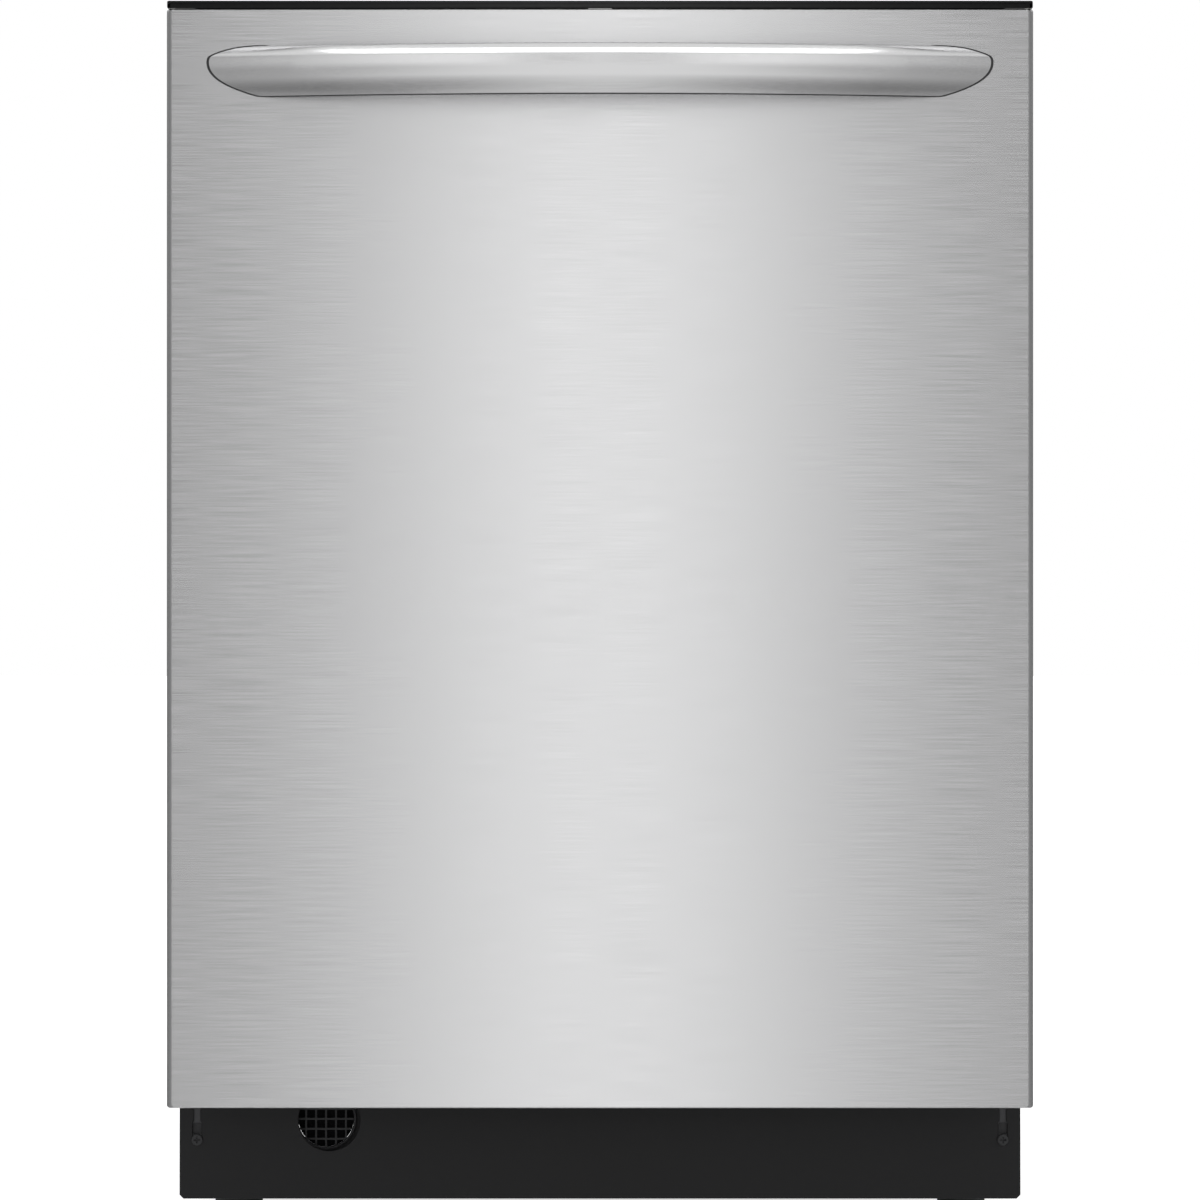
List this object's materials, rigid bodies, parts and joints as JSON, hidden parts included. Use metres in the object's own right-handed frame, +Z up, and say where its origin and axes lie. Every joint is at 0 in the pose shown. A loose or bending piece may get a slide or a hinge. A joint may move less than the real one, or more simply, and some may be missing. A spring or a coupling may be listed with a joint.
{
  "type": "built-in dishwasher",
  "caption": "Front-loading built-in dishwasher with a brushed steel drop-down door, bowed bar handle, hidden top controls, pull-out racks, spray arms and a recessed toe kick.",
  "frame": {"origin": "middle of the floor area under the machine, handle included", "axes": "+Z up, -Y the front with the door, +X to the right of someone facing the door"},
  "size_m": [0.606, 0.6719, 0.85],
  "materials": {
    "door_stainless": "horizontally brushed",
    "handle_steel": "satin face, polished top edge",
    "console_black": "semi-gloss",
    "black_paint": "satin black paint",
    "black_plastic": "matte",
    "foot_plastic": "matte",
    "tub_stainless": "fine satin",
    "galvanised": "galvanised sheet",
    "blanket": "felt with a foil face",
    "door_pad": "bitumen-backed felt",
    "gasket_rubber": "matte",
    "sump_plastic": "moulded",
    "pump_case": "matte",
    "heater": "heat-tinted",
    "grey_plastic": "moulded",
    "spring_steel": "bright wire",
    "dispenser_grey": "moulded",
    "cap_blue": "glossy",
    "button_black": "fine texture",
    "circuit_board": "solder mask",
    "white_plastic": "moulded",
    "rack_vinyl": "vinyl-coated wire"
  },
  "bodies": {
    "cabinet": {"base_frame": "galvanised", "tub_wrapper": "tub_stainless", "tub_back": "tub_stainless", "tub_floor": "tub_stainless", "insulation_blanket": "blanket", "access_panel": "black_paint", "vent_grille": "black_plastic", "kick_brackets": "galvanised", "toe_kick_screws": "black_paint", "countertop_brackets": "galvanised", "tub_gasket": "gasket_rubber", "sump": "sump_plastic", "filter_plate": "tub_stainless", "spray_arm_post": "sump_plastic", "heating_element": "heater", "wash_pump": "pump_case", "drain_pump": "sump_plastic", "water_inlet_valve": "sump_plastic", "junction_box": "galvanised", "feed_tube": "grey_plastic", "top_spray_head": "grey_plastic", "rack_rails": "tub_stainless", "latch_strike": "galvanised", "hinge_brackets": "galvanised", "hinge_springs": "spring_steel"},
    "door": {"door_outer_panel": "door_stainless", "door_insulation": "door_pad", "door_inner_liner": "tub_stainless", "hinge_arms": "galvanised", "handle": "handle_steel", "handle_screws": "galvanised", "control_console": "console_black", "control_board": "circuit_board", "latch_housing": "black_plastic", "dispenser_body": "dispenser_grey"},
    "toe_kick": {"toe_kick": "black_paint"},
    "foot_front_left": {"foot_front_left": "foot_plastic"},
    "foot_front_right": {"foot_front_right": "foot_plastic"},
    "foot_rear_left": {"foot_rear_left": "foot_plastic"},
    "foot_rear_right": {"foot_rear_right": "foot_plastic"},
    "latch_hook": {"latch_hook": "galvanised"},
    "dispenser_lid": {"dispenser_lid": "dispenser_grey"},
    "rinse_aid_cap": {"rinse_aid_cap": "cap_blue"},
    "button_1": {"button_1": "button_black"},
    "button_2": {"button_2": "button_black"},
    "button_3": {"button_3": "button_black"},
    "button_4": {"button_4": "button_black"},
    "button_5": {"button_5": "button_black"},
    "button_6": {"button_6": "button_black"},
    "filter_cup": {"filter_cup": "grey_plastic"},
    "float": {"float": "white_plastic"},
    "lower_spray_arm": {"lower_spray_arm": "grey_plastic"},
    "lower_rack": {"lower_rack": "rack_vinyl"},
    "lower_rack_wheels_front": {"lower_rack_wheels_front": "white_plastic"},
    "lower_rack_wheels_rear": {"lower_rack_wheels_rear": "white_plastic"},
    "fold_tines": {"fold_tines": "rack_vinyl"},
    "silverware_basket": {"silverware_basket": "grey_plastic"},
    "upper_rack": {"upper_rack": "rack_vinyl"},
    "upper_spray_arm": {"upper_spray_arm": "grey_plastic"},
    "cup_shelf": {"cup_shelf": "grey_plastic"}
  },
  "joints": [
    {"name": "door_hinge", "type": "hinge", "parent": "cabinet", "child": "door", "pos_m": [0, -0.261, 0.12], "axis": [1, 0, 0], "range_deg": [0, 90], "deforming": ["hinge_springs"]},
    {"name": "toe_kick_slide", "type": "slide", "parent": "cabinet", "child": "toe_kick", "axis": [0, 0, -1], "range_m": [0, 0.025]},
    {"name": "foot_front_left_screw", "type": "slide", "parent": "cabinet", "child": "foot_front_left", "axis": [0, 0, -1], "range_m": [0, 0.038]},
    {"name": "foot_front_right_screw", "type": "slide", "parent": "cabinet", "child": "foot_front_right", "axis": [0, 0, -1], "range_m": [0, 0.038]},
    {"name": "foot_rear_left_screw", "type": "slide", "parent": "cabinet", "child": "foot_rear_left", "axis": [0, 0, -1], "range_m": [0, 0.038]},
    {"name": "foot_rear_right_screw", "type": "slide", "parent": "cabinet", "child": "foot_rear_right", "axis": [0, 0, -1], "range_m": [0, 0.038]},
    {"name": "latch_hook_pivot", "type": "hinge", "parent": "door", "child": "latch_hook", "pos_m": [0, -0.232, 0.8208], "axis": [1, 0, 0], "range_deg": [0, 5], "stiffness_Nm_per_rad": 0.3},
    {"name": "dispenser_lid_slide", "type": "slide", "parent": "door", "child": "dispenser_lid", "axis": [1, 0, 0], "range_m": [0, 0.076]},
    {"name": "rinse_aid_cap_twist", "type": "hinge", "parent": "door", "child": "rinse_aid_cap", "pos_m": [-0.045, -0.2165, 0.576], "axis": [0, -1, 0], "range_deg": [0, 90]},
    {"name": "button_1_press", "type": "slide", "parent": "door", "child": "button_1", "axis": [0, 0, -1], "range_m": [0, 0.0009], "stiffness_N_per_m": 400, "springref_m": -0.0002},
    {"name": "button_2_press", "type": "slide", "parent": "door", "child": "button_2", "axis": [0, 0, -1], "range_m": [0, 0.0009], "stiffness_N_per_m": 400, "springref_m": -0.0002},
    {"name": "button_3_press", "type": "slide", "parent": "door", "child": "button_3", "axis": [0, 0, -1], "range_m": [0, 0.0009], "stiffness_N_per_m": 400, "springref_m": -0.0002},
    {"name": "button_4_press", "type": "slide", "parent": "door", "child": "button_4", "axis": [0, 0, -1], "range_m": [0, 0.0009], "stiffness_N_per_m": 400, "springref_m": -0.0002},
    {"name": "button_5_press", "type": "slide", "parent": "door", "child": "button_5", "axis": [0, 0, -1], "range_m": [0, 0.0009], "stiffness_N_per_m": 400, "springref_m": -0.0002},
    {"name": "button_6_press", "type": "slide", "parent": "door", "child": "button_6", "axis": [0, 0, -1], "range_m": [0, 0.0009], "stiffness_N_per_m": 400, "springref_m": -0.0002},
    {"name": "filter_cup_twist", "type": "hinge", "parent": "cabinet", "child": "filter_cup", "pos_m": [0.058, 0.051, 0.14], "axis": [0, 0, 1], "range_deg": [0, 90]},
    {"name": "float_rise", "type": "slide", "parent": "cabinet", "child": "float", "axis": [0, 0, 1], "range_m": [0, 0.015]},
    {"name": "lower_spray_arm_spin", "type": "hinge", "parent": "cabinet", "child": "lower_spray_arm", "pos_m": [0, 0.051, 0.1726], "axis": [0, 0, 1], "continuous": true},
    {"name": "lower_rack_slide", "type": "slide", "parent": "cabinet", "child": "lower_rack", "axis": [0, -1, 0], "range_m": [0, 0.182]},
    {"name": "lower_rack_wheels_front_roll", "type": "hinge", "parent": "lower_rack", "child": "lower_rack_wheels_front", "pos_m": [0, -0.0905, 0.1834], "axis": [1, 0, 0], "range_deg": [0, 600]},
    {"name": "lower_rack_wheels_rear_roll", "type": "hinge", "parent": "lower_rack", "child": "lower_rack_wheels_rear", "pos_m": [0, 0.262, 0.1834], "axis": [1, 0, 0], "range_deg": [0, 600]},
    {"name": "fold_tines_fold", "type": "hinge", "parent": "lower_rack", "child": "fold_tines", "pos_m": [0, 0.132, 0.2103], "axis": [-1, 0, 0], "range_deg": [0, 85]},
    {"name": "silverware_basket_lift", "type": "slide", "parent": "lower_rack", "child": "silverware_basket", "axis": [0, 0, 1], "range_m": [0, 0.11]},
    {"name": "upper_rack_slide", "type": "slide", "parent": "cabinet", "child": "upper_rack", "axis": [0, -1, 0], "range_m": [0, 0.45]},
    {"name": "upper_spray_arm_spin", "type": "hinge", "parent": "upper_rack", "child": "upper_spray_arm", "pos_m": [0, 0.067, 0.47], "axis": [0, 0, 1], "continuous": true},
    {"name": "cup_shelf_fold", "type": "hinge", "parent": "upper_rack", "child": "cup_shelf", "pos_m": [0.246, 0.067, 0.638], "axis": [0, 1, 0], "range_deg": [0, 80]}
  ],
  "couplings": [
    {"joint": "lower_rack_slide", "follows": "door_hinge", "m_per_rad": 0.115},
    {"joint": "upper_rack_slide", "follows": "door_hinge", "m_per_rad": 0.286},
    {"joint": "lower_rack_wheels_front_roll", "follows": "door_hinge", "ratio": 6.5714},
    {"joint": "lower_rack_wheels_rear_roll", "follows": "door_hinge", "ratio": 6.5714}
  ]
}
